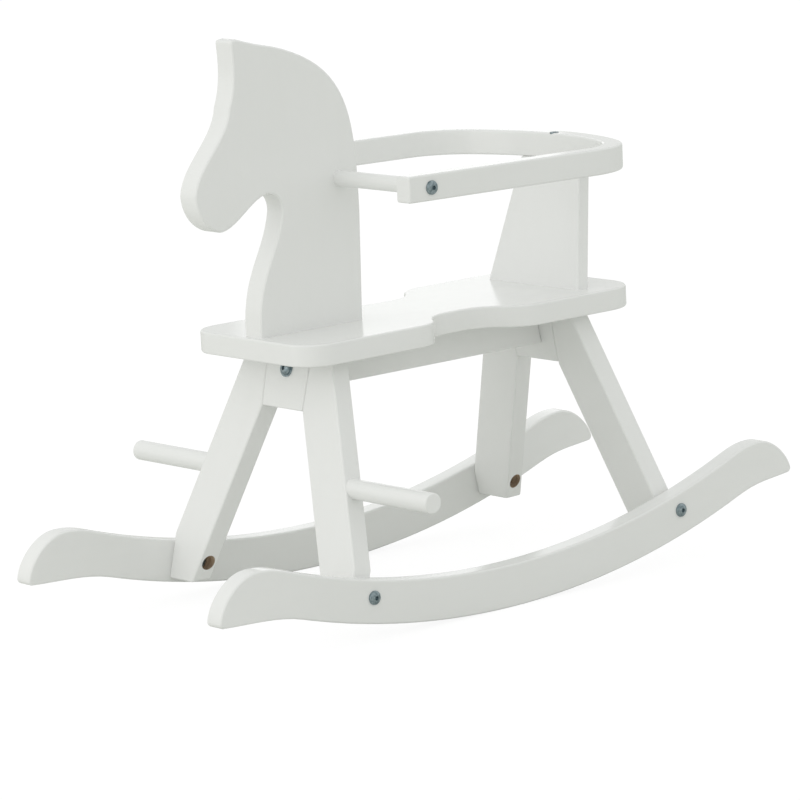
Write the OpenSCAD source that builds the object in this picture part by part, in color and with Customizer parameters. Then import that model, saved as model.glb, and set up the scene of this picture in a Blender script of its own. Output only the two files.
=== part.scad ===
// Wooden rocking horse for a toddler, with a guard ring round the seat.
// Front (the nose) points to +X, the horse's left is +Y, up is +Z.
// The origin lies on the floor, under the middle of the whole object.

/* [Seat] */
// Height of the seat's top above the floor
seat_z = 281; // [250:1:360]
// Thickness of the seat board
seat_t = 22; // [18:1:30]
// Length of the seat board
seat_l = 444; // [400:1:540]
// Width of the seat board at its ends
seat_w = 190; // [180:1:240]
// Width of the seat at its waist
waist_w = 110; // [90:1:140]
// Length of each curved step into the waist
waist_step = 70; // [60:1:84]
// Length of the narrow stretch between the two steps
waist_l = 22; // [10:1:40]
// Radius of the seat's front corners
seat_front_r = 33; // [20:1:50]
// Radius of the seat's rear corners
seat_rear_r = 44; // [20:1:50]
// How far the seat's middle lies behind the origin
seat_back = 21; // [0:1:40]

/* [Rockers] */
// Overall length of a rocker
rocker_l = 759; // [700:1:920]
// Thickness of a rocker board
rocker_t = 22; // [18:1:28]
// Height of a rocker between its lower and upper curves
rocker_h = 43; // [36:1:54]
// Radius of the curve that rolls on the floor
rocker_r = 930; // [800:10:1200]
// Angle that the rockers' ends are lower in front
rocker_tilt = 1.25; // [0:0.05:2]
// Height of the tips' round ends over the rockers' lower curve
tip_r = 44; // [38:1:48]
// How much longer and lower the front tips are than the rear tips
tip_drop = 6; // [0:1:8]
// Width over the outer faces of both rockers
track_w = 324; // [300:2:390]

/* [Legs and blocks] */
// Thickness of the legs and of the blocks between them
leg_t = 22; // [18:1:28]
// Width of a leg across its slope, measured level
leg_w = 55; // [48:1:62]
// Slope of the legs out to the side, at least
leg_splay = 21.6; // [18:0.1:23]
// Height over the floor up to which the legs' outer faces are upright, at least
leg_flat = 66; // [60:1:80]
// Slope of the front legs to the front
front_lean = 14; // [8:0.5:17]
// Slope of the rear legs to the rear
rear_lean = 11.3; // [8:0.1:16]
// Middle of the front legs under the seat, in front of the origin
front_leg_x = 138; // [118:1:156]
// Middle of the rear legs under the seat, behind the origin
rear_leg_x = 178; // [142:1:197]
// Width of a block under the seat
block_top_w = 66; // [62:1:74]
// Width of a block at its lower edge
block_low_w = 62; // [56:1:62]
// Height of a block
block_h = 56; // [50:1:68]
// Width of the beam under the seat
beam_w = 26; // [22:1:34]
// Height of the beam under the seat
beam_h = 37; // [34:1:44]
// Height of the legs' lower ends over the floor curve of the rockers
leg_gap = 6; // [3:1:12]

/* [Head] */
// Thickness of the head board
head_t = 26; // [22:1:30]
// Height of the head above the seat
head_h = 293; // [270:1:350]
// Distance of the head's straight rear edge from the origin
head_x = 61; // [38:1:73]

/* [Guard ring] */
// Height of the ring's wood
ring_h = 26; // [20:1:32]
// Thickness of the ring's wood, seen from above
ring_t = 20; // [18:1:26]
// Width over the ring's arms
ring_w = 302; // [270:1:340]
// Distance of the arms' front ends from the origin
ring_front = 112; // [102:1:128]
// Distance of the ring's rear from the origin
ring_rear = 231; // [227:1:235]
// Outer radius of the ring's rear corners
ring_corner_r = 80; // [70:1:110]
// Outer radius of the ring's rear
ring_rear_r = 240; // [200:5:300]
// Angle that the ring slopes down to the rear
ring_tilt = 0.8; // [0:0.1:1.5]

/* [Back panel] */
// Thickness of the back panel
panel_t = 15; // [12:1:18]
// Width of the panel on the seat
panel_low_w = 136; // [110:1:160]
// Width of the panel at the ring's middle height
panel_top_w = 82; // [70:1:110]
// Lean of the panel to the rear
panel_lean = 14; // [13:0.5:16]

/* [Handle and footrests] */
// Diameter of the handle rod
rod_d = 16; // [14:0.5:20]
// Distance of the handle rod from the origin
rod_x = 84; // [80:1:90]
// Height of the handle rod above the seat
rod_up = 144; // [120:1:190]
// Diameter of the footrests
foot_d = 20; // [16:1:22]
// Width over the ends of both footrests
foot_w = 456; // [420:2:540]
// Depth of the footrest below the seat's top
foot_down = 142; // [110:1:150]

/* [Fasteners] */
// Thread diameter of the bolts
bolt_d = 6; // [5:0.5:7]
// Diameter of the bolt heads
bolt_head_d = 14; // [12:0.5:16]
// Height of the domed bolt heads
bolt_head_h = 3.6; // [3:0.1:4.5]
// Diameter of the nut recess in each leg
nut_bore_d = 15; // [13.5:0.5:16]
// Diameter of the large wooden dowels
dowel_d = 8; // [6:0.5:9]
// Diameter of the small wooden dowels
pin_d = 6; // [5:0.5:7]
// Thread diameter of the wood screws
screw_d = 4.5; // [3.5:0.5:5]
// Diameter of the wood screws' heads
screw_head_d = 9; // [8:0.5:10]
// Gap all round between a bolt and its hole
bolt_gap = 0.25; // [0.1:0.05:0.5]
// Gap all round between a glued or screwed piece and its hole
fit_gap = 0.05; // [0.02:0.01:0.1]

/* [Hidden] */
$fn = 64;

lacquer = "whitesmoke";
steel = "lightsteelblue";
raw_wood = "burlywood";
big = 900;                                    // larger than any cut needs to be

// Heights shared by several pieces
under_z = seat_z - seat_t;                    // underside of the seat
rod_z = seat_z + rod_up;                      // axis of the handle rod
foot_z = seat_z - foot_down;                  // axis of the footrests
beam_z = under_z - beam_h;                    // underside of the beam
face_y = track_w / 2 - rocker_t;              // where legs and rockers meet
// Slope that brings the legs out to the rockers
splay = max(leg_splay, atan((face_y - block_low_w / 2 - leg_w) / (under_z - block_h - leg_flat)));

// Rocker outline in its own frame: u along the rocker, v up from its lowest point
tip_v = rocker_h + 14;                        // height of the tips' widest place
tip_skew = tip_drop / 3;                      // half the difference between the tips' lengths
tip_u = (rocker_l - 5) / 2 - tip_r;           // where the top edge starts to curve down
arc_u = tip_u - 38;                           // where the upper curve ends
low_x = (rocker_r - tip_v) * sin(rocker_tilt) - tip_skew;
bolt_up = rocker_h * 0.6;                     // bolts above the floor curve
tip_corner_r = 5;                             // lower corner of a tip

// Fastener lengths
washer_t = 1.6;
washer_d = nut_bore_d - 1;
nut_w = bolt_d / 6 * 10;                      // across the flats
nut_t = bolt_d * 0.8;
beam_bolt_l = 52;
barrel_d = 10;
barrel_l = beam_w - 6;
insert_d = bolt_d + 3.5;
insert_l = 16;
foot_in = 22;                                 // depth of a footrest in its leg
screw_in = 30;                                // depth of a screw in the upper piece
screw_head_h = 3;
screw_sunk = 4;                               // depth of the recess for a screw head
dowel_in = 14;                                // depth of a dowel in the seat
ring_screw_l = 50;
beam_bolt_drop = 18;                          // down the block's face from the seat
beam_washer_d = 17;
nut_sunk = washer_t + nut_t;
// Floor of the nut recess in a leg, deep enough for nut and washer on the leg's slope
nut_floor_y = max(face_y - 28, slope_in(1) + nut_sunk, slope_in(-1) + nut_sunk);
nut_end_y = nut_floor_y - nut_sunk;
seat_screw_x = [18, -112];                    // screws up through the beam
seat_screw_in = 16;                           // their depth in the seat
seat_screw_sunk = 12;                         // depth of their recess in the beam

// Head and panel on the seat
head_screw_x = [head_x + 18, head_x + 112];
head_dowel_x = [head_x + 40, head_x + 88];
panel_x = seat_back + seat_l / 2 - 66.5;      // panel's front face on the seat, to the rear
panel_screw_y = [-panel_low_w / 4, panel_low_w / 4];
panel_screw_z = screw_sunk + 2 - seat_t / cos(panel_lean);

// Where the panel's middle meets the ring's underside
ring_low_z = rod_z - ring_h / 2 - (panel_x + rod_x) * tan(ring_tilt);
panel_top_x = panel_x + (ring_low_z - seat_z) * tan(panel_lean) + panel_t / 2;

foot_inner_y = block_low_w / 2 + (under_z - foot_z - block_h) * tan(splay) + leg_w - foot_in;

// ---------- outline helpers ----------

// Points on a circle's arc from angle a0 to a1
function arc(cx, cy, r, a0, a1, n = 12) =
    [for (i = [0 : n]) let (a = a0 + (a1 - a0) * i / n) [cx + r * cos(a), cy + r * sin(a)]];

// Points on a cubic curve, without its first point
function curve(p0, p1, p2, p3, n = 10) =
    [for (i = [1 : n]) let (t = i / n, s = 1 - t)
        s * s * s * p0 + 3 * s * s * t * p1 + 3 * s * t * t * p2 + t * t * t * p3];

function reversed(list) = [for (i = [len(list) - 1 : -1 : 0]) list[i]];
function mirrored(list) = [for (p = reversed(list)) [-p[0], p[1]]];

// ---------- where the legs and rockers meet ----------

// Place along X of the middle of a leg pair at height z; side is 1 in front, -1 at the rear
function lean(side) = side > 0 ? front_lean : rear_lean;
function leg_x(side, z) =
    side * ((side > 0 ? front_leg_x : rear_leg_x) + (under_z - z) * tan(lean(side)));

// Height of a rocker's curve of radius r at place x
function arc_z(r, x) = rocker_r - sqrt(r * r - (x - low_x) * (x - low_x));

// Height of the bolt through a leg and a rocker, found by repeating a few times
function bolt_z(side, z = 50, n = 5) =
    n == 0 ? z : bolt_z(side, arc_z(rocker_r - bolt_up, leg_x(side, z)), n - 1);

function leg_low_z(side) = arc_z(rocker_r, leg_x(side, bolt_z(side)) + side * 8) + leg_gap;

// Y of a leg's inner and outer slope at depth h under the seat
function leg_in(h) = block_low_w / 2 + (h - block_h) * tan(splay);
function leg_out(h) = leg_in(h) + leg_w;
function slope_in(side) = leg_in(under_z - bolt_z(side) + nut_bore_d / 2);
function cut_h() = (face_y - leg_out(0)) / tan(splay);

// ---------- placing helpers ----------

// Flat outline drawn in X and Z, t thick, its middle in the plane Y = 0
module upright(t) {
    rotate([90, 0, 0]) linear_extrude(t, center = true) children();
}

// Frame of a leg pair: outline drawn in Y and Z below the seat, leaning with the legs
module leaning(side) {
    translate([leg_x(side, under_z), 0, under_z])
        rotate([0, -side * lean(side), 0])
            children();
}

module across(t) {
    rotate([90, 0, 90]) linear_extrude(t, center = true) children();
}

// Everything between two heights
module slab(z0, z1) {
    translate([-big / 2, -big / 2, z0]) cube([big, big, z1 - z0]);
}

// Cylinder along Y from y0 to y1 at x and z
module along_y(x, z, y0, y1, d) {
    translate([x, min(y0, y1), z]) rotate([-90, 0, 0]) cylinder(d = d, h = abs(y1 - y0));
}

// Domed bolt head with a hexagon socket and its shank along -Z, seat of the head at Z = 0
module domed_bolt(length) {
    difference() {
        rotate_extrude() polygon(concat([[0, 0], [bolt_head_d / 2, 0], [bolt_head_d / 2, 0.8]],
            [for (a = [15 : 15 : 90]) [bolt_head_d / 2 * cos(a), 0.8 + (bolt_head_h - 0.8) * sin(a)]]));
        translate([0, 0, 1.2]) cylinder(d = bolt_d * 0.8, h = bolt_head_h, $fn = 6);
    }
    translate([0, 0, -length]) cylinder(d = bolt_d, h = length);
}

// Wood screw: flat round head under its shank, pointing to +Z, top of the head at Z = 0
module wood_screw(length) {
    difference() {
        translate([0, 0, -screw_head_h]) cylinder(d = screw_head_d, h = screw_head_h);
        translate([0, 0, -screw_head_h - 0.01]) cross_recess();
    }
    cylinder(d = screw_d, h = length - 4);
    translate([0, 0, length - 4]) cylinder(d1 = screw_d, d2 = 1, h = 4);
}

module cross_recess() {
    for (a = [0, 90]) rotate([0, 0, a]) translate([-2.2, -0.5, 0]) cube([4.4, 1, 1.6]);
}

// Hole for a wood screw: recess for the head and a hole for the shank
module screw_hole(length) {
    translate([0, 0, -screw_sunk - 20]) cylinder(d = screw_head_d + 1, h = 20 + screw_sunk);
    translate([0, 0, -1]) cylinder(d = screw_d + 2 * fit_gap, h = length + 1);
}

// ---------- places of the fasteners ----------

// Bolts through rockers and legs, drawn for each leg on one side (sy is 1 or -1)
module at_rocker_bolts(sides = [1, -1], hands = [1, -1]) {
    for (side = sides, sy = hands)
        translate([leg_x(side, bolt_z(side)), sy * track_w / 2, bolt_z(side)])
            rotate([-sy * 90, 0, 0])
                children();
}

// Small dowels over the rocker bolts
module rocker_dowel_set(gap, sides = [1, -1], hands = [1, -1]) {
    for (side = sides, sy = hands) {
        z = bolt_z(side) + bolt_d / 2 + pin_d / 2 + 5.5;
        along_y(leg_x(side, z), z, sy * (face_y - 16 - gap), sy * (face_y + 12 + gap), pin_d + 2 * gap);
    }
}

// Dowels between blocks and legs
module leg_dowel_set(gap, sides = [1, -1], hands = [1, -1]) {
    for (side = sides, sy = hands, h = [30, block_h - 10]) {
        joint_y = block_top_w / 2 - 1;
        along_y(leg_x(side, under_z - h), under_z - h,
                sy * (joint_y - 16 - gap), sy * (joint_y + 20 + gap), dowel_d + 2 * gap);
    }
}

// Upright dowels between the legs and the seat, clear of the panel's screws
module seat_dowel_set(gap, sides = [1, -1], hands = [1, -1]) {
    mid_y = (leg_out(0) + block_top_w / 2) / 2;
    dowel_y = max(mid_y, panel_screw_y[1] + (dowel_d + screw_head_d) / 2 + 1);
    for (side = sides, sy = hands)
        translate([leg_x(side, under_z - 6), sy * dowel_y, under_z - 22 - gap])
            cylinder(d = dowel_d + 2 * gap, h = 22 + dowel_in + 2 * gap);
}

// Bolt through a block into the beam; its head lies on the block's outer face
module at_beam_bolt(side) {
    leaning(side) translate([side * leg_t / 2, 0, -beam_bolt_drop]) rotate([0, side * 90, 0]) children();
}

// Nut of the beam bolt, a short cylinder across the beam
module at_barrel(side) {
    at_beam_bolt(side) translate([0, 0, -beam_bolt_l + 6]) rotate([90, 0, 0]) children();
}

// Frame of the back panel: Z up along the panel, its middle thickness in X = 0
module in_panel() {
    translate([-panel_x, 0, seat_z])
        rotate([0, -panel_lean, 0])
            translate([-panel_t / 2, 0, 0])
                children();
}

// Frame of the ring: tilted about the handle rod, Z = 0 at its middle height
module in_ring() {
    translate([rod_x, 0, rod_z]) rotate([0, -ring_tilt, 0]) translate([-rod_x, 0, 0]) children();
}

// ---------- outlines ----------

module seat_outline() {
    front = seat_l / 2;
    step_r = (waist_step * waist_step + pow((seat_w - waist_w) / 2, 2)) / (2 * (seat_w - waist_w));
    step_a = asin(waist_step / 2 / step_r);
    half = concat(
        arc(front - seat_front_r, seat_w / 2 - seat_front_r, seat_front_r, 0, 90),
        arc(waist_l / 2 + waist_step, seat_w / 2 - step_r, step_r, 90, 90 + step_a),
        arc(waist_l / 2, waist_w / 2 + step_r, step_r, -90 + step_a, -90),
        arc(-waist_l / 2, waist_w / 2 + step_r, step_r, -90, -90 - step_a),
        arc(-waist_l / 2 - waist_step, seat_w / 2 - step_r, step_r, 90 - step_a, 90),
        arc(-front + seat_rear_r, seat_w / 2 - seat_rear_r, seat_rear_r, 90, 180));
    polygon(concat(half, [for (p = reversed(half)) [p[0], -p[1]]]));
}

// Half of a rocker's edge from its lowest point to its highest; side is 1 in front, -1 at the rear
function rocker_half(side) =
    let (low_u = arc_u - 5 - side * 9,        // the underside leaves the lower curve here
         low_a = asin(low_u / rocker_r),
         high_a = asin(arc_u / (rocker_r - rocker_h)),
         leave = [low_u, rocker_r * (1 - cos(low_a))],
         tip_end = rocker_l / 2 + side * tip_skew,
         tip_low = tip_v + 1 - side * tip_drop / 2,
         corner = [tip_end - tip_corner_r, tip_low + tip_corner_r],
         crest = [tip_u, tip_v + tip_r],
         top_end = [arc_u, rocker_r - (rocker_r - rocker_h) * cos(high_a)])
    concat(arc(0, rocker_r, rocker_r, -90, -90 + low_a, 20),
           curve(leave, leave + 32 * [cos(low_a), sin(low_a)], corner - [30, tip_corner_r + 3],
                 corner - [0, tip_corner_r], 8),
           arc(corner[0], corner[1], tip_corner_r, -75, 0, 5),
           curve(corner + [tip_corner_r, 0], [tip_end - 2.5, tip_v + 21], crest + [24, 0], crest, 14),
           curve(crest, crest - [14, 0], top_end + 14 * [cos(high_a), sin(high_a)], top_end, 6),
           arc(0, rocker_r, rocker_r - rocker_h, -90 + high_a, -90, 20));

module rocker_outline() {
    front = rocker_half(1);
    rear = rocker_half(-1);
    polygon(concat(front, mirrored([for (i = [1 : len(rear) - 2]) rear[i]])));
}

// Side view of the head: X from its rear edge, Y from the seat
module head_outline() {
    k = head_h / 293;
    back_low = [2, 0];
    back_top = [-2, 110 * k];
    crown = [98, 282 * k];
    ear_back = [141, 293 * k];
    ear_tip = [148.5, 292 * k];
    brow = [155, 228 * k];
    nose = [202.5, 147 * k];
    chin = [172, 109 * k];
    throat = [115, 139.5 * k];
    neck = [96.5, 120 * k];
    polygon(concat(
        [back_low, back_top],
        curve(back_top, [-2, 205 * k], [1, 256 * k], crown, 20),
        curve(crown, [117, 285.5 * k], [131, 290 * k], ear_back, 6),
        [ear_tip],
        curve(ear_tip, [147, 270 * k], [145.5, 250 * k], brow, 12),
        curve(brow, [158.5, 197.5 * k], [199, 177 * k], nose, 14),
        curve(nose, [202, 127 * k], [188, 112 * k], chin, 10),
        curve(chin, [151, 112 * k], [136, 134 * k], throat, 10),
        curve(throat, [103, 139.5 * k], [96.5, 133 * k], neck, 8),
        curve(neck, [104, 77 * k], [134, 62 * k], [132, 0], 14)));
}

// Half of the ring's outer edge, inset by d, seen from above
function ring_half(d) =
    let (cy = ring_w / 2 - ring_corner_r,
         rise = sqrt(pow(ring_rear_r - ring_corner_r, 2) - cy * cy),
         rear_cx = ring_rear_r - ring_rear,
         turn = atan2(cy, rise))
    concat([[ring_front, ring_w / 2 - d]],
           arc(rear_cx - rise, cy, ring_corner_r - d, 90, 180 - turn, 14),
           arc(rear_cx, 0, ring_rear_r - d, 180 - turn, 180, 8));

module ring_outline() {
    outer = ring_half(0);
    inner = ring_half(ring_t);
    far_outer = [for (i = [len(outer) - 2 : -1 : 0]) [outer[i][0], -outer[i][1]]];
    far_inner = [for (i = [0 : len(inner) - 2]) [inner[i][0], -inner[i][1]]];
    polygon(concat(outer, far_outer, far_inner, reversed(inner)));
}

module leg_outline(side, sy) {
    s = 1 / cos(lean(side));
    low = under_z - leg_low_z(side) + 30;
    inner_top = block_top_w / 2 + 30 * (block_top_w - block_low_w) / 2 / block_h;
    points = [[inner_top, 30 * s],
              [block_low_w / 2, -block_h * s],
              [leg_in(low), -low * s],
              [face_y, -low * s],
              [face_y, -cut_h() * s],
              [leg_out(-30), 30 * s]];
    polygon([for (p = points) [sy * p[0], p[1]]]);
}

module block_outline(side) {
    s = 1 / cos(lean(side));
    grow = 30 * (block_top_w - block_low_w) / 2 / block_h;
    polygon([[-block_top_w / 2 - grow, 30 * s], [block_top_w / 2 + grow, 30 * s],
             [block_low_w / 2, -block_h * s], [-block_low_w / 2, -block_h * s]]);
}

// ---------- wooden pieces ----------

module seat_board() {
    color(lacquer) difference() {
        translate([-seat_back, 0, under_z]) linear_extrude(seat_t) seat_outline();
        seat_dowel_set(fit_gap);
        for (x = head_screw_x) translate([x, 0, under_z + screw_sunk]) screw_hole(seat_t);
        head_dowel_set(fit_gap);
        panel_screw_holes();
        panel_dowel_set(fit_gap);
        for (x = seat_screw_x) translate([x, 0, under_z]) seat_screw_shank(fit_gap);
    }
}

module head_dowel_set(gap) {
    for (x = head_dowel_x)
        translate([x, 0, seat_z - dowel_in - gap])
            cylinder(d = dowel_d + 2 * gap, h = dowel_in + 20 + 2 * gap);
}

module head_panel() {
    color(lacquer) difference() {
        translate([head_x, 0, seat_z]) upright(head_t) head_outline();
        along_y(rod_x, rod_z, -head_t, head_t, rod_d + 2 * fit_gap);
        for (x = head_screw_x)
            translate([x, 0, under_z + screw_sunk]) screw_hole(seat_t + screw_in - screw_sunk);
        head_dowel_set(fit_gap);
    }
}

module panel_screw_holes() {
    for (y = panel_screw_y) in_panel() translate([0, y, panel_screw_z]) screw_hole(screw_in + 20);
}

module back_panel() {
    top = (rod_z - seat_z) / cos(panel_lean);
    low_y = panel_low_w / 2;
    top_y = panel_top_w / 2;
    grow = 20 * (low_y - top_y) / top;
    color(lacquer) difference() {
        intersection() {
            in_panel() across(panel_t)
                polygon([[-low_y - grow, -20], [low_y + grow, -20], [top_y, top], [-top_y, top]]);
            translate([-big / 2, -big / 2, seat_z]) cube(big);
            in_ring() translate([-big, -big / 2, -big - ring_h / 2]) cube([2 * big, big, big]);
        }
        panel_screw_holes();
        panel_dowel_set(fit_gap);
        ring_screw_shank(fit_gap);
        ring_dowel_set(fit_gap);
    }
}

module guard_ring() {
    color(lacquer) difference() {
        in_ring() translate([0, 0, -ring_h / 2]) linear_extrude(ring_h) ring_outline();
        along_y(rod_x, rod_z, -ring_w, ring_w, bolt_d + 2 * bolt_gap);
        ring_screw_shank(bolt_gap);
        at_ring_screw() cylinder(d = screw_head_d + 0.6, h = 20);
        ring_dowel_set(fit_gap);
    }
}

module handle_rod() {
    rod_end = ring_w / 2 - ring_t;
    color(lacquer) difference() {
        along_y(rod_x, rod_z, -rod_end, rod_end, rod_d);
        for (sy = [1, -1])
            along_y(rod_x, rod_z, sy * (rod_end - insert_l), sy * (rod_end + 1), insert_d + 2 * fit_gap);
        for (sy = [1, -1])
            along_y(rod_x, rod_z, sy * (rod_end - insert_l - 8), sy * rod_end, bolt_d + 2 * bolt_gap);
    }
}

module block(side) {
    color(lacquer) difference() {
        intersection() {
            leaning(side) across(leg_t) block_outline(side);
            slab(under_z - block_h, under_z);
        }
        at_beam_bolt(side) translate([0, 0, -leg_t * 2]) cylinder(d = bolt_d + 2 * bolt_gap, h = leg_t * 3);
        leg_dowel_set(fit_gap, [side]);
    }
}

module front_block() { block(1); }
module rear_block() { block(-1); }

module seat_screw_shank(gap) {
    translate([0, 0, -beam_h]) cylinder(d = screw_d + 2 * gap, h = beam_h + seat_screw_in + gap);
}

module seat_beam() {
    color(lacquer) difference() {
        intersection() {
            slab(beam_z, under_z);
            translate([-big / 2, -beam_w / 2, 0]) cube([big, beam_w, big]);
            leaning(1) translate([-leg_t / 2 - big, -big / 2, -big / 2]) cube(big);
            leaning(-1) translate([leg_t / 2, -big / 2, -big / 2]) cube(big);
        }
        for (side = [1, -1]) {
            at_beam_bolt(side) translate([0, 0, -beam_bolt_l - 4])
                cylinder(d = bolt_d + 2 * bolt_gap, h = beam_bolt_l);
            at_barrel(side) translate([0, 0, -barrel_l / 2])
                cylinder(d = barrel_d + 2 * fit_gap, h = big);
        }
        for (x = seat_screw_x) translate([x, 0, under_z]) seat_screw_shank(bolt_gap);
        for (x = seat_screw_x)
            translate([x, 0, beam_z - 1]) cylinder(d = screw_head_d + 1, h = seat_screw_sunk + 1);
    }
}

module leg(side, sy) {
    color(lacquer) difference() {
        intersection() {
            leaning(side) across(leg_t) leg_outline(side, sy);
            slab(leg_low_z(side), under_z);
        }
        at_rocker_bolts([side], [sy]) translate([0, 0, -track_w / 2])
            cylinder(d = bolt_d + 2 * bolt_gap, h = track_w / 2);
        at_rocker_bolts([side], [sy]) translate([0, 0, -track_w / 2])
            cylinder(d = nut_bore_d, h = nut_floor_y);
        rocker_dowel_set(fit_gap, [side], [sy]);
        leg_dowel_set(fit_gap, [side], [sy]);
        seat_dowel_set(fit_gap, [side], [sy]);
        if (side > 0) footrest_bar(sy, fit_gap);
    }
}

module leg_front_left() { leg(1, 1); }
module leg_front_right() { leg(1, -1); }
module leg_rear_left() { leg(-1, 1); }
module leg_rear_right() { leg(-1, -1); }

module rocker(sy) {
    color(lacquer) difference() {
        translate([low_x, sy * (track_w - rocker_t) / 2, rocker_r])
            rotate([0, rocker_tilt, 0])
                translate([0, 0, -rocker_r])
                    upright(rocker_t) rocker_outline();
        at_rocker_bolts([1, -1], [sy]) translate([0, 0, -rocker_t * 2])
            cylinder(d = bolt_d + 2 * bolt_gap, h = rocker_t * 3);
        rocker_dowel_set(fit_gap, [1, -1], [sy]);
    }
}

module rocker_left() { rocker(1); }
module rocker_right() { rocker(-1); }

// Footrest along Y: plain bar grown by gap, ending inside the leg
module footrest_bar(sy, gap) {
    along_y(leg_x(1, foot_z), foot_z, sy * (foot_inner_y - gap), sy * foot_w / 2, foot_d + 2 * gap);
}

module footrest(sy) {
    round_r = 1.5;
    color(lacquer)
        translate([leg_x(1, foot_z), sy * foot_inner_y, foot_z])
            rotate([-sy * 90, 0, 0])
                rotate_extrude() polygon(concat([[0, 0], [foot_d / 2, 0]],
                    arc(foot_d / 2 - round_r, foot_w / 2 - foot_inner_y - round_r, round_r, 0, 90, 6),
                    [[0, foot_w / 2 - foot_inner_y]]));
}

module footrest_left() { footrest(1); }
module footrest_right() { footrest(-1); }

// ---------- fasteners ----------

module rocker_bolts() {
    color(steel) at_rocker_bolts() domed_bolt(track_w / 2 - nut_end_y + 1.5);
}

module rocker_nuts() {
    color(steel) at_rocker_bolts() translate([0, 0, nut_end_y - track_w / 2]) difference() {
        cylinder(r = nut_w / sqrt(3), h = nut_t, $fn = 6);
        translate([0, 0, -1]) cylinder(d = bolt_d + 2 * fit_gap, h = nut_t + 2);
    }
}

module rocker_nut_washers() {
    color(steel) at_rocker_bolts() translate([0, 0, nut_floor_y - washer_t - track_w / 2]) difference() {
        cylinder(d = washer_d, h = washer_t);
        translate([0, 0, -1]) cylinder(d = bolt_d + 2 * bolt_gap, h = washer_t + 2);
    }
}

module rocker_dowels() {
    color(raw_wood) rocker_dowel_set(0);
}

module beam_bolts() {
    color(steel) for (side = [1, -1])
        at_beam_bolt(side) translate([0, 0, washer_t]) domed_bolt(beam_bolt_l + washer_t);
}

module beam_bolt_washers() {
    color(steel) for (side = [1, -1]) at_beam_bolt(side) difference() {
        cylinder(d = beam_washer_d, h = washer_t);
        translate([0, 0, -1]) cylinder(d = bolt_d + 2 * bolt_gap, h = washer_t + 2);
    }
}

module beam_barrel_nuts() {
    color(steel) for (side = [1, -1]) difference() {
        at_barrel(side) translate([0, 0, -barrel_l / 2]) cylinder(d = barrel_d, h = barrel_l);
        at_beam_bolt(side) translate([0, 0, -beam_bolt_l - 4])
            cylinder(d = bolt_d + 2 * fit_gap, h = beam_bolt_l);
    }
}

module ring_arm_bolts() {
    color(steel) for (sy = [1, -1]) translate([rod_x, sy * ring_w / 2, rod_z])
        rotate([-sy * 90, 0, 0]) domed_bolt(ring_t + insert_l);
}

module rod_inserts() {
    rod_end = ring_w / 2 - ring_t;
    color(steel) for (sy = [1, -1]) difference() {
        along_y(rod_x, rod_z, sy * (rod_end - insert_l), sy * rod_end, insert_d);
        along_y(rod_x, rod_z, sy * (rod_end - insert_l - 1), sy * (rod_end + 1), bolt_d + 2 * fit_gap);
    }
}

// Screw down through the ring into the panel's top, at the ring's rear
module at_ring_screw() {
    translate([-panel_top_x, 0, ring_low_z]) rotate([0, -ring_tilt, 0])
        translate([0, 0, ring_h - screw_head_h]) children();
}

module ring_screw_shank(gap) {
    at_ring_screw() translate([0, 0, -ring_screw_l - gap])
        cylinder(d = screw_d + 2 * gap, h = ring_screw_l + 2 * gap);
}

module ring_screw() {
    color(steel) at_ring_screw() rotate([180, 0, 0]) wood_screw(ring_screw_l);
}

module ring_dowel_set(gap) {
    for (sy = [1, -1])
        translate([-panel_top_x, sy * panel_top_w * 0.28, ring_low_z]) rotate([0, -ring_tilt, 0])
            translate([0, 0, -14 - gap]) cylinder(d = pin_d + 2 * gap, h = 28 + 2 * gap);
}

module ring_dowels() {
    color(raw_wood) ring_dowel_set(0);
}

module head_screws() {
    color(steel) for (x = head_screw_x)
        translate([x, 0, under_z + screw_sunk]) wood_screw(seat_t - screw_sunk + screw_in);
}

module head_dowels() {
    color(raw_wood) head_dowel_set(0);
}

module panel_screws() {
    color(steel) for (y = panel_screw_y)
        in_panel() translate([0, y, panel_screw_z]) wood_screw(screw_in - panel_screw_z - 4);
}

module panel_dowel_set(gap) {
    for (sy = [1, -1]) in_panel() translate([0, sy * panel_low_w / 10, -dowel_in - gap])
        cylinder(d = pin_d + 2 * gap, h = dowel_in + 18 + 2 * gap);
}

module panel_dowels() {
    color(raw_wood) panel_dowel_set(0);
}

module seat_screws() {
    color(steel) for (x = seat_screw_x) translate([x, 0, beam_z + seat_screw_sunk])
        wood_screw(beam_h - seat_screw_sunk + seat_screw_in - 1);
}

module seat_dowels() {
    color(raw_wood) seat_dowel_set(0);
}

module leg_dowels() {
    color(raw_wood) leg_dowel_set(0);
}

seat_board();
head_panel();
back_panel();
guard_ring();
handle_rod();
front_block();
rear_block();
seat_beam();
leg_front_left();
leg_front_right();
leg_rear_left();
leg_rear_right();
rocker_left();
rocker_right();
footrest_left();
footrest_right();
rocker_bolts();
rocker_nuts();
rocker_nut_washers();
rocker_dowels();
beam_bolts();
beam_bolt_washers();
beam_barrel_nuts();
ring_arm_bolts();
rod_inserts();
ring_screw();
ring_dowels();
head_screws();
head_dowels();
panel_screws();
panel_dowels();
seat_screws();
seat_dowels();
leg_dowels();
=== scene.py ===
import math

import bmesh
import bpy
from mathutils import Matrix, Vector

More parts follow.
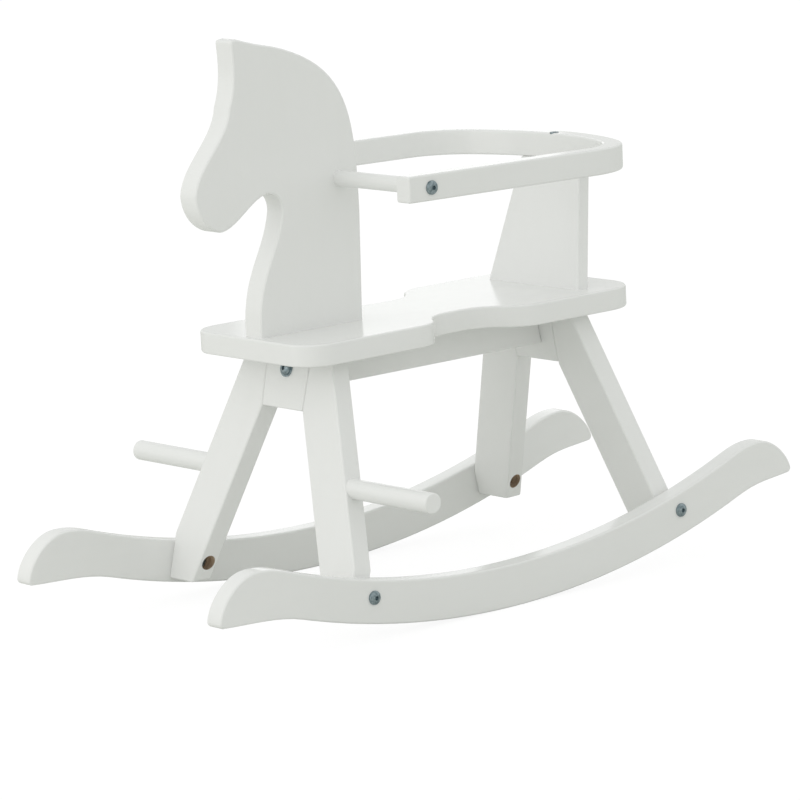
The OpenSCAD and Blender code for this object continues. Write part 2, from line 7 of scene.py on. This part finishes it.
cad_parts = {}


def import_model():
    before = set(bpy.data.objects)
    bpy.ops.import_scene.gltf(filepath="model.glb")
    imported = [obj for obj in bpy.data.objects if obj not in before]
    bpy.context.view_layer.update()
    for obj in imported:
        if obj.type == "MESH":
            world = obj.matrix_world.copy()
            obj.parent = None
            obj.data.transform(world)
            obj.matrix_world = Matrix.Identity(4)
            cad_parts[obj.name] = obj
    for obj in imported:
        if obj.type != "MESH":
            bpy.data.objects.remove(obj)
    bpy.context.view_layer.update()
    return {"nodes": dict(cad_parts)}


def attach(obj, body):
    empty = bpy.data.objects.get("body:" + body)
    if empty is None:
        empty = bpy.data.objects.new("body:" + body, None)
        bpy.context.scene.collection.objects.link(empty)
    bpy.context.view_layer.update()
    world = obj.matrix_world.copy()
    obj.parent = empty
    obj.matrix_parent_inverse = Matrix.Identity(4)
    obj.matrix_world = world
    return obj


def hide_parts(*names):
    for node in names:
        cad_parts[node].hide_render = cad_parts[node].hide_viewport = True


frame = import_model()
nodes = frame["nodes"]
MM = 0.001

# Reading the CAD meshes
MERGE_DISTANCE = 2e-6
FLAT_DOT = 0.99995              # a face whose normal is this near an axis looks along it
FLAT_DEPTH = 1e-4               # faces this near the outermost one belong to the same flat side
SHORTEST_EDGE = 0.3 * MM

# Rounding
SHARP_ANGLE = math.radians(25.0)
BEVEL_SEGMENTS = 3
BASE_BAND = 0.3 * MM            # points this near the lowest one belong to a board's base

# Holes: each cutter starts clear of the wood and goes in as deep as the CAD's own hole
CUTTER_LEAD = 0.01              # length of a cutter before its mouth
CUTTER_SIDES = 48
NUT_RECESS_RADIUS = 7.5 * MM
NUT_RECESS_START = 0.06         # distance from the horse's middle plane, between the legs
BARREL_HOLE_RADIUS = 5.05 * MM
BARREL_HOLE_START = 0.02        # distance from the middle plane, outside the beam
BARREL_HOLE_DEPTH = 0.030
BARREL_SIDE = -1                # the barrel nuts go in from the horse's right
SCREW_HEAD_HEIGHT = 0.003
BEAM_SCREW_RADIUS = 5 * MM
BEAM_SCREW_START = 0.03         # distance below the head of the screw
RING_SCREW_RADIUS = 4.8 * MM
RING_SCREW_START = 0.01         # distance above the head of the screw

# Colours
LACQUER_DARK = (0.853, 0.86, 0.847)
LACQUER_PALE = (0.869, 0.875, 0.865)
ZINC_DARK = (0.16, 0.21, 0.23)
ZINC_PALE = (0.38, 0.45, 0.48)
BEECH_DARK = (0.36, 0.24, 0.15)
BEECH_PALE = (0.62, 0.47, 0.33)
SHOWN_FLOOR = (0.14, 0.14, 0.14)
BOUNCE_FLOOR = (0.72, 0.73, 0.70)
SKY = (0.815, 0.825, 0.81)
COOL_WHITE = (0.98, 0.98, 1.0)
WARM_WHITE = (1.0, 0.97, 0.97)
WARMER_WHITE = (1.0, 0.97, 0.96)

# Camera, fitted to the straight edges of the seat, head and ring
CAMERA_LENS = 201.6
CAMERA_SENSOR = 36.0
CAMERA_CLIP_END = 200.0
CAMERA_AIM = (0.0665, 0.0669, 0.2058)
CAMERA_BACK = (0.63498, 0.75135, 0.17983)       # direction from the horse to the camera
CAMERA_UP = (-0.15590, -0.10337, 0.98235)
CAMERA_DISTANCE = 4.413


# ---------- node helpers ----------

def new_material(name):
    mat = bpy.data.materials.new(name)
    mat.use_nodes = True
    tree = mat.node_tree
    return mat, tree, tree.nodes["Principled BSDF"]


def add(tree, kind, **values):
    """A node of that kind, with its properties and unlinked inputs set."""
    node = tree.nodes.new(kind)
    for key, value in values.items():
        if key in node.inputs:
            node.inputs[key].default_value = value
        else:
            setattr(node, key, value)
    return node


def object_coords(tree, scale=(1.0, 1.0, 1.0)):
    """Object coordinates multiplied by scale."""
    coords = add(tree, "ShaderNodeTexCoord")
    mapping = add(tree, "ShaderNodeMapping", Scale=scale)
    tree.links.new(coords.outputs["Object"], mapping.inputs["Vector"])
    return mapping.outputs["Vector"]


def noise(tree, vector, scale, detail, roughness=0.5):
    node = add(tree, "ShaderNodeTexNoise", Scale=scale, Detail=detail, Roughness=roughness)
    tree.links.new(vector, node.inputs["Vector"])
    return node.outputs["Fac"]


def remap(tree, fac, low, high, to_low, to_high):
    """Turns the range low to high into to_low to to_high, and clamps what lies outside it."""
    node = add(tree, "ShaderNodeMapRange")
    for key, value in (("From Min", low), ("From Max", high), ("To Min", to_low), ("To Max", to_high)):
        node.inputs[key].default_value = value
    tree.links.new(fac, node.inputs["Value"])
    return node.outputs["Result"]


def spread(tree, fac, to_low, to_high):
    """Spreads the middle of a noise's range, where most of its values lie."""
    return remap(tree, fac, 0.3, 0.7, to_low, to_high)


def total(tree, first, second):
    node = add(tree, "ShaderNodeMath", operation="ADD")
    tree.links.new(first, node.inputs[0])
    tree.links.new(second, node.inputs[1])
    return node.outputs[0]


def ramp(tree, fac, low, low_color, high, high_color):
    """Colour that turns from low_color at low to high_color at high."""
    node = add(tree, "ShaderNodeValToRGB")
    first, last = node.color_ramp.elements
    first.position = low
    first.color = (*low_color, 1.0)
    last.position = high
    last.color = (*high_color, 1.0)
    tree.links.new(fac, node.inputs["Fac"])
    return node.outputs["Color"]


def bump(tree, height, distance, strength, under=None):
    """Normal bent by height, on top of the bump given as under."""
    node = add(tree, "ShaderNodeBump", Strength=strength, Distance=distance)
    tree.links.new(height, node.inputs["Height"])
    if under is not None:
        tree.links.new(under, node.inputs["Normal"])
    return node.outputs["Normal"]


# ---------- materials ----------

def lacquer(name, grain):
    """White semi-gloss lacquer on sanded wood; grain scales its streaks along X, Y and Z."""
    mat, tree, shader = new_material(name)
    link = tree.links.new
    plain = object_coords(tree)
    cloud = noise(tree, plain, scale=6.0, detail=2.0)
    streak = noise(tree, object_coords(tree, grain), scale=70.0, detail=4.0, roughness=0.6)
    gloss = noise(tree, plain, scale=30.0, detail=2.0)
    peel = noise(tree, plain, scale=380.0, detail=1.0)
    mixed = total(tree, spread(tree, cloud, 0.0, 0.6), spread(tree, streak, 0.0, 0.4))
    link(ramp(tree, mixed, 0.1, LACQUER_DARK, 0.9, LACQUER_PALE), shader.inputs["Base Color"])
    link(spread(tree, gloss, 0.15, 0.19), shader.inputs["Roughness"])
    orange_peel = bump(tree, peel, distance=0.00005, strength=0.25)
    link(bump(tree, streak, distance=0.00008, strength=0.2, under=orange_peel), shader.inputs["Normal"])
    shader.inputs["IOR"].default_value = 1.5
    return mat


def zinc(name):
    """Zinc-plated steel with the plating's soft cloudiness."""
    mat, tree, shader = new_material(name)
    link = tree.links.new
    plain = object_coords(tree)
    cloud = noise(tree, plain, scale=350.0, detail=3.0)
    gloss = noise(tree, plain, scale=900.0, detail=2.0)
    grit = noise(tree, plain, scale=1500.0, detail=2.0)
    link(ramp(tree, cloud, 0.3, ZINC_DARK, 0.7, ZINC_PALE), shader.inputs["Base Color"])
    link(spread(tree, gloss, 0.22, 0.42), shader.inputs["Roughness"])
    link(bump(tree, grit, distance=0.0001, strength=0.3), shader.inputs["Normal"])
    shader.inputs["Metallic"].default_value = 1.0
    return mat


def raw_beech(name):
    """Bare beech of the dowels and drilled holes, with streaks and short flecks."""
    mat, tree, shader = new_material(name)
    link = tree.links.new
    streak = noise(tree, object_coords(tree, (40.0, 40.0, 6.0)), scale=14.0, detail=5.0, roughness=0.65)
    flecks = noise(tree, object_coords(tree, (1.0, 1.0, 0.15)), scale=900.0, detail=2.0)
    mixed = total(tree, spread(tree, streak, 0.0, 0.7), remap(tree, flecks, 0.35, 0.65, 0.0, 0.3))
    link(ramp(tree, mixed, 0.1, BEECH_DARK, 0.9, BEECH_PALE), shader.inputs["Base Color"])
    link(bump(tree, streak, distance=0.0003, strength=0.5), shader.inputs["Normal"])
    shader.inputs["Roughness"].default_value = 0.7
    return mat


# The lacquer by the direction in which the grain runs
LACQUER = {
    "x": lacquer("white_lacquer_x", (0.12, 1.0, 1.0)),
    "z": lacquer("white_lacquer_z", (1.0, 1.0, 0.12)),
    "y": lacquer("white_lacquer_y", (1.0, 0.12, 1.0)),
}
ZINC = zinc("zinc_steel")
BEECH = raw_beech("raw_beech")


# ---------- wooden boards ----------

def cad_mesh(node):
    """The CAD node's mesh with its doubled points joined."""
    bm = bmesh.new()
    bm.from_mesh(nodes[node].data)
    bmesh.ops.remove_doubles(bm, verts=bm.verts, dist=MERGE_DISTANCE)
    bm.normal_update()
    return bm


def board_axis(bm):
    """The direction that most of the surface faces: a board's thickness."""
    areas = {}
    for face in bm.faces:
        key = tuple(round(abs(c), 3) for c in face.normal)
        areas.setdefault(key, [0.0, face.normal.copy()])[0] += face.calc_area()
    return max(areas.values(), key=lambda item: item[0])[1].normalized()


def outer_rim(bm, axis):
    """Points round the outermost flat side that looks along axis, in order."""
    facing = [f for f in bm.faces if f.normal.dot(axis) > FLAT_DOT]
    top = max(f.calc_center_median().dot(axis) for f in facing)
    flat = [f for f in facing if f.calc_center_median().dot(axis) > top - FLAT_DEPTH]
    known = set(flat)
    ends = {}
    for face in flat:
        for loop in face.loops:
            if sum(neighbour in known for neighbour in loop.edge.link_faces) == 1:
                ends[loop.vert] = loop.link_loop_next.vert
    rims = []
    while ends:
        start, vert = next(iter(ends.items()))
        chain = [start]
        del ends[start]
        while vert is not start:
            chain.append(vert)
            vert = ends.pop(vert)
        rims.append([v.co.copy() for v in chain])
    return max(rims, key=lambda pts: sum((a - b).length for a, b in zip(pts, pts[1:] + pts[:1])))


def board_mesh(node):
    """A clean prism with the CAD node's outline and no holes."""
    bm = cad_mesh(node)
    axis = board_axis(bm)
    upper = outer_rim(bm, axis)
    lower = outer_rim(bm, -axis)
    lower.reverse()
    bm.free()
    if len(upper) != len(lower):
        raise RuntimeError(f"{node}: rims of {len(upper)} and {len(lower)} points")
    count = len(upper)

    def apart(shift):
        return sum((upper[i] - lower[(i + shift) % count]).length for i in range(count))

    shift = min(range(count), key=apart)
    lower = [lower[(i + shift) % count] for i in range(count)]
    kept = [i for i in range(count) if (upper[i] - upper[i - 1]).length > SHORTEST_EDGE]
    out = bmesh.new()
    top = [out.verts.new(upper[i]) for i in kept]
    low = [out.verts.new(lower[i]) for i in kept]
    out.faces.new(top)
    out.faces.new(list(reversed(low)))
    for i in range(len(kept)):
        j = (i + 1) % len(kept)
        out.faces.new((top[i], low[i], low[j], top[j]))
    bmesh.ops.recalc_face_normals(out, faces=out.faces)
    return out


def link_object(name, data):
    obj = bpy.data.objects.new(name, data)
    bpy.context.scene.collection.objects.link(obj)
    return obj


def freeze(obj):
    """Applies the object's modifiers."""
    graph = bpy.context.evaluated_depsgraph_get()
    mesh = bpy.data.meshes.new_from_object(obj.evaluated_get(graph), depsgraph=graph)
    obj.modifiers.clear()
    obj.data = mesh


def shade(obj):
    """Smooth shading that keeps the flat faces flat."""
    for polygon in obj.data.polygons:
        polygon.use_smooth = True
    weighted = obj.modifiers.new("weighted", "WEIGHTED_NORMAL")
    weighted.keep_sharp = True
    weighted.weight = 80
    freeze(obj)


def soften(bm, radius, keep_base):
    """Rounds every sharp edge of bm, but with keep_base not those on which it stands on the seat."""
    bm.normal_update()
    base = min(v.co.z for v in bm.verts) + BASE_BAND if keep_base else -1.0
    edges = [e for e in bm.edges if e.calc_face_angle(0.0) > SHARP_ANGLE
             and not all(v.co.z < base for v in e.verts)]
    bmesh.ops.bevel(bm, geom=edges, offset=radius, segments=BEVEL_SEGMENTS, profile=0.5,
                    affect="EDGES", clamp_overlap=False, loop_slide=False)
    bm.normal_update()
    for edge in bm.edges:
        if edge.calc_face_angle(0.0) > SHARP_ANGLE:
            edge.smooth = False


def drill(obj, holes):
    """Cuts round holes: each is a point at the mouth, the direction in, radius and depth."""
    for at, into, radius, depth in holes:
        bm = bmesh.new()
        bmesh.ops.create_cone(bm, cap_ends=True, segments=CUTTER_SIDES, radius1=radius, radius2=radius,
                              depth=depth + CUTTER_LEAD)
        mesh = bpy.data.meshes.new("cutter")
        bm.to_mesh(mesh)
        bm.free()
        mesh.materials.append(BEECH)
        cutter = link_object("cutter", mesh)
        direction = Vector(into).normalized()
        middle = Vector(at) + direction * (depth - CUTTER_LEAD) / 2
        turn = direction.to_track_quat("Z", "Y").to_matrix().to_4x4()
        cutter.matrix_world = Matrix.Translation(middle) @ turn
        cut = obj.modifiers.new("cut", "BOOLEAN")
        cut.operation = "DIFFERENCE"
        cut.solver = "EXACT"
        cut.material_mode = "TRANSFER"
        cut.object = cutter
        bpy.context.view_layer.update()
        freeze(obj)
        bpy.data.objects.remove(cutter)


def board(node, radius, grain, holes):
    bm = board_mesh(node)
    soften(bm, radius, node in ("head_panel", "back_panel"))
    mesh = bpy.data.meshes.new(node + "_board")
    bm.to_mesh(mesh)
    bm.free()
    obj = link_object(node + "_board", mesh)
    obj.data.materials.append(LACQUER[grain])
    drill(obj, holes)
    shade(obj)
    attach(obj, "root")
    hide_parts(node)


def islands(node):
    """Lowest corner, middle and highest corner of each separate solid in a CAD node."""
    bm = cad_mesh(node)
    seen = set()
    boxes = []
    for first in bm.verts:
        if first in seen:
            continue
        seen.add(first)
        found = [first]
        for vert in found:
            for edge in vert.link_edges:
                other = edge.other_vert(vert)
                if other not in seen:
                    seen.add(other)
                    found.append(other)
        low = Vector(min(v.co[i] for v in found) for i in range(3))
        high = Vector(max(v.co[i] for v in found) for i in range(3))
        boxes.append((low, (low + high) / 2, high))
    bm.free()
    return boxes


def nut_recess(side, hand):
    """Hole for a nut and washer in a leg's inner slope: side is 1 at the front, hand is 1 on the left."""
    for low, middle, high in islands("rocker_nut_washers"):
        if middle.x * side > 0 and middle.y * hand > 0:
            mouth = (middle.x, hand * NUT_RECESS_START, middle.z)
            depth = max(abs(low.y), abs(high.y)) - NUT_RECESS_START
            return [(mouth, (0, hand, 0), NUT_RECESS_RADIUS, depth)]
    raise RuntimeError("no washer for that leg")


def barrel_holes():
    """Blind holes in the beam's right side for the barrel nuts."""
    holes = []
    for low, middle, high in islands("beam_barrel_nuts"):
        mouth = (middle.x, BARREL_SIDE * BARREL_HOLE_START, middle.z)
        holes.append((mouth, (0, -BARREL_SIDE, 0), BARREL_HOLE_RADIUS, BARREL_HOLE_DEPTH))
    return holes


def beam_screw_holes():
    """Deep recesses for the screws that hold the beam under the seat."""
    holes = []
    for low, middle, high in islands("seat_screws"):
        mouth = (middle.x, 0, low.z - BEAM_SCREW_START)
        holes.append((mouth, (0, 0, 1), BEAM_SCREW_RADIUS, BEAM_SCREW_START + SCREW_HEAD_HEIGHT))
    return holes


def ring_screw_hole():
    """Recess for the screw in the ring's rear, over the back panel."""
    low, middle, high = islands("ring_screw")[0]
    mouth = (middle.x, 0, high.z + RING_SCREW_START)
    return [(mouth, (0, 0, -1), RING_SCREW_RADIUS, RING_SCREW_START + SCREW_HEAD_HEIGHT)]


# Radius of the rounded edges in millimetres, and the direction of the grain
BOARDS = {
    "seat_board": (2.2, "x"), "head_panel": (2.8, "z"), "back_panel": (2.2, "z"), "guard_ring": (2.4, "x"),
    "front_block": (1.8, "y"), "rear_block": (1.8, "y"), "seat_beam": (2.0, "x"),
    "leg_front_left": (2.2, "z"), "leg_front_right": (2.2, "z"),
    "leg_rear_left": (2.2, "z"), "leg_rear_right": (2.2, "z"),
    "rocker_left": (2.6, "x"), "rocker_right": (2.6, "x"),
}
HOLES = {
    "leg_front_left": nut_recess(1, 1), "leg_front_right": nut_recess(1, -1),
    "leg_rear_left": nut_recess(-1, 1), "leg_rear_right": nut_recess(-1, -1),
    "seat_beam": barrel_holes() + beam_screw_holes(), "guard_ring": ring_screw_hole(),
}
for node, (radius, grain) in BOARDS.items():
    board(node, radius * MM, grain, HOLES.get(node, []))


# ---------- CAD nodes that stay as they are ----------

def coat(names, material):
    for name in names:
        slots = nodes[name].data.materials
        slots.clear()
        slots.append(material)


coat(("handle_rod", "footrest_left", "footrest_right"), LACQUER["y"])
coat(("rocker_bolts", "rocker_nuts", "rocker_nut_washers", "beam_bolts", "beam_bolt_washers",
      "beam_barrel_nuts", "ring_arm_bolts", "rod_inserts", "ring_screw", "head_screws", "panel_screws",
      "seat_screws"), ZINC)
coat(("rocker_dowels", "ring_dowels", "head_dowels", "panel_dowels", "seat_dowels", "leg_dowels"), BEECH)


# ---------- floor, light and camera ----------

def floor(name, height, color, glow):
    """Plain pale floor, clear from below; glow is light of its own, so that shadows on it stay faint."""
    mesh = bpy.data.meshes.new(name)
    reach = 40.0
    corners = [(x * reach, y * reach, height) for x, y in ((-1, -1), (1, -1), (1, 1), (-1, 1))]
    mesh.from_pydata(corners, [], [(0, 1, 2, 3)])
    obj = link_object(name, mesh)
    mat, tree, shader = new_material(name)
    shader.inputs["Base Color"].default_value = (*color, 1)
    shader.inputs["Roughness"].default_value = 0.9
    shader.inputs["Specular IOR Level"].default_value = 0.0
    shader.inputs["Emission Color"].default_value = (1, 1, 1, 1)
    shader.inputs["Emission Strength"].default_value = glow
    clear = add(tree, "ShaderNodeBsdfTransparent")
    mixed = add(tree, "ShaderNodeMixShader")
    tree.links.new(add(tree, "ShaderNodeNewGeometry").outputs["Backfacing"], mixed.inputs["Fac"])
    tree.links.new(shader.outputs["BSDF"], mixed.inputs[1])
    tree.links.new(clear.outputs["BSDF"], mixed.inputs[2])
    tree.links.new(mixed.outputs["Shader"], tree.nodes["Material Output"].inputs["Surface"])
    mesh.materials.append(mat)
    return obj


def softbox(name, place, aim, width, height, glow, color):
    """Plain glowing rectangle at place, turned to aim; glow is its brightness."""
    light = bpy.data.lights.new(name, "AREA")
    light.shape = "RECTANGLE"
    light.size = width
    light.size_y = height
    light.energy = glow * math.pi * width * height
    light.color = color
    obj = link_object(name, light)
    obj.location = place
    obj.rotation_mode = "QUATERNION"
    obj.rotation_quaternion = (Vector(place) - Vector(aim)).to_track_quat("Z", "Y")
    obj.visible_camera = False


def world(base, towards, start, strength, color):
    """Soft light of the colour base from all round, brighter round the direction towards."""
    scene_world = bpy.data.worlds.new("studio")
    scene_world.use_nodes = True
    tree = scene_world.node_tree
    link = tree.links.new
    dot = add(tree, "ShaderNodeVectorMath", operation="DOT_PRODUCT")
    link(add(tree, "ShaderNodeTexCoord").outputs["Generated"], dot.inputs[0])
    dot.inputs[1].default_value = Vector(towards).normalized()
    lobe = add(tree, "ShaderNodeVectorMath", operation="SCALE")
    lobe.inputs[0].default_value = color
    link(remap(tree, dot.outputs["Value"], start, 1.0, 0.0, strength), lobe.inputs["Scale"])
    light = add(tree, "ShaderNodeVectorMath", operation="ADD")
    link(lobe.outputs[0], light.inputs[0])
    light.inputs[1].default_value = base
    background = tree.nodes["Background"]
    link(light.outputs[0], background.inputs["Color"])
    background.inputs["Strength"].default_value = 1.0
    bpy.context.scene.world = scene_world


def camera():
    data = bpy.data.cameras.new("camera")
    data.lens = CAMERA_LENS
    data.sensor_width = CAMERA_SENSOR
    data.clip_end = CAMERA_CLIP_END
    obj = link_object("camera", data)
    back = Vector(CAMERA_BACK).normalized()
    right = Vector(CAMERA_UP).cross(back).normalized()
    up = back.cross(right)
    turn = Matrix((right, up, back)).transposed()
    place = Vector(CAMERA_AIM) + CAMERA_DISTANCE * back
    obj.matrix_world = Matrix.Translation(place) @ turn.to_4x4()
    bpy.context.scene.camera = obj


# The floor that is seen throws no light on the horse. The grey one just under it does, and isn't seen.
shown = floor("studio_floor", 0.0, SHOWN_FLOOR, glow=0.9)
shown.visible_diffuse = False
shown.visible_glossy = False
shown.visible_shadow = False
grey = floor("bounce_floor", -0.0005, BOUNCE_FLOOR, glow=0.0)
grey.visible_camera = False

world(SKY, towards=(1.0, 0.1, 0.2), start=0.2, strength=0.2, color=WARM_WHITE)
softbox("back_card", place=(-1.02, -1.20, 0.56), aim=(0.0, 0.0, 0.45),
        width=0.45, height=0.75, glow=0.5, color=COOL_WHITE)
softbox("front_card", place=(1.35, -0.25, 0.55), aim=(0.0, 0.0, 0.25),
        width=0.7, height=0.9, glow=0.75, color=WARMER_WHITE)
camera()
bpy.context.scene.view_settings.view_transform = "Standard"
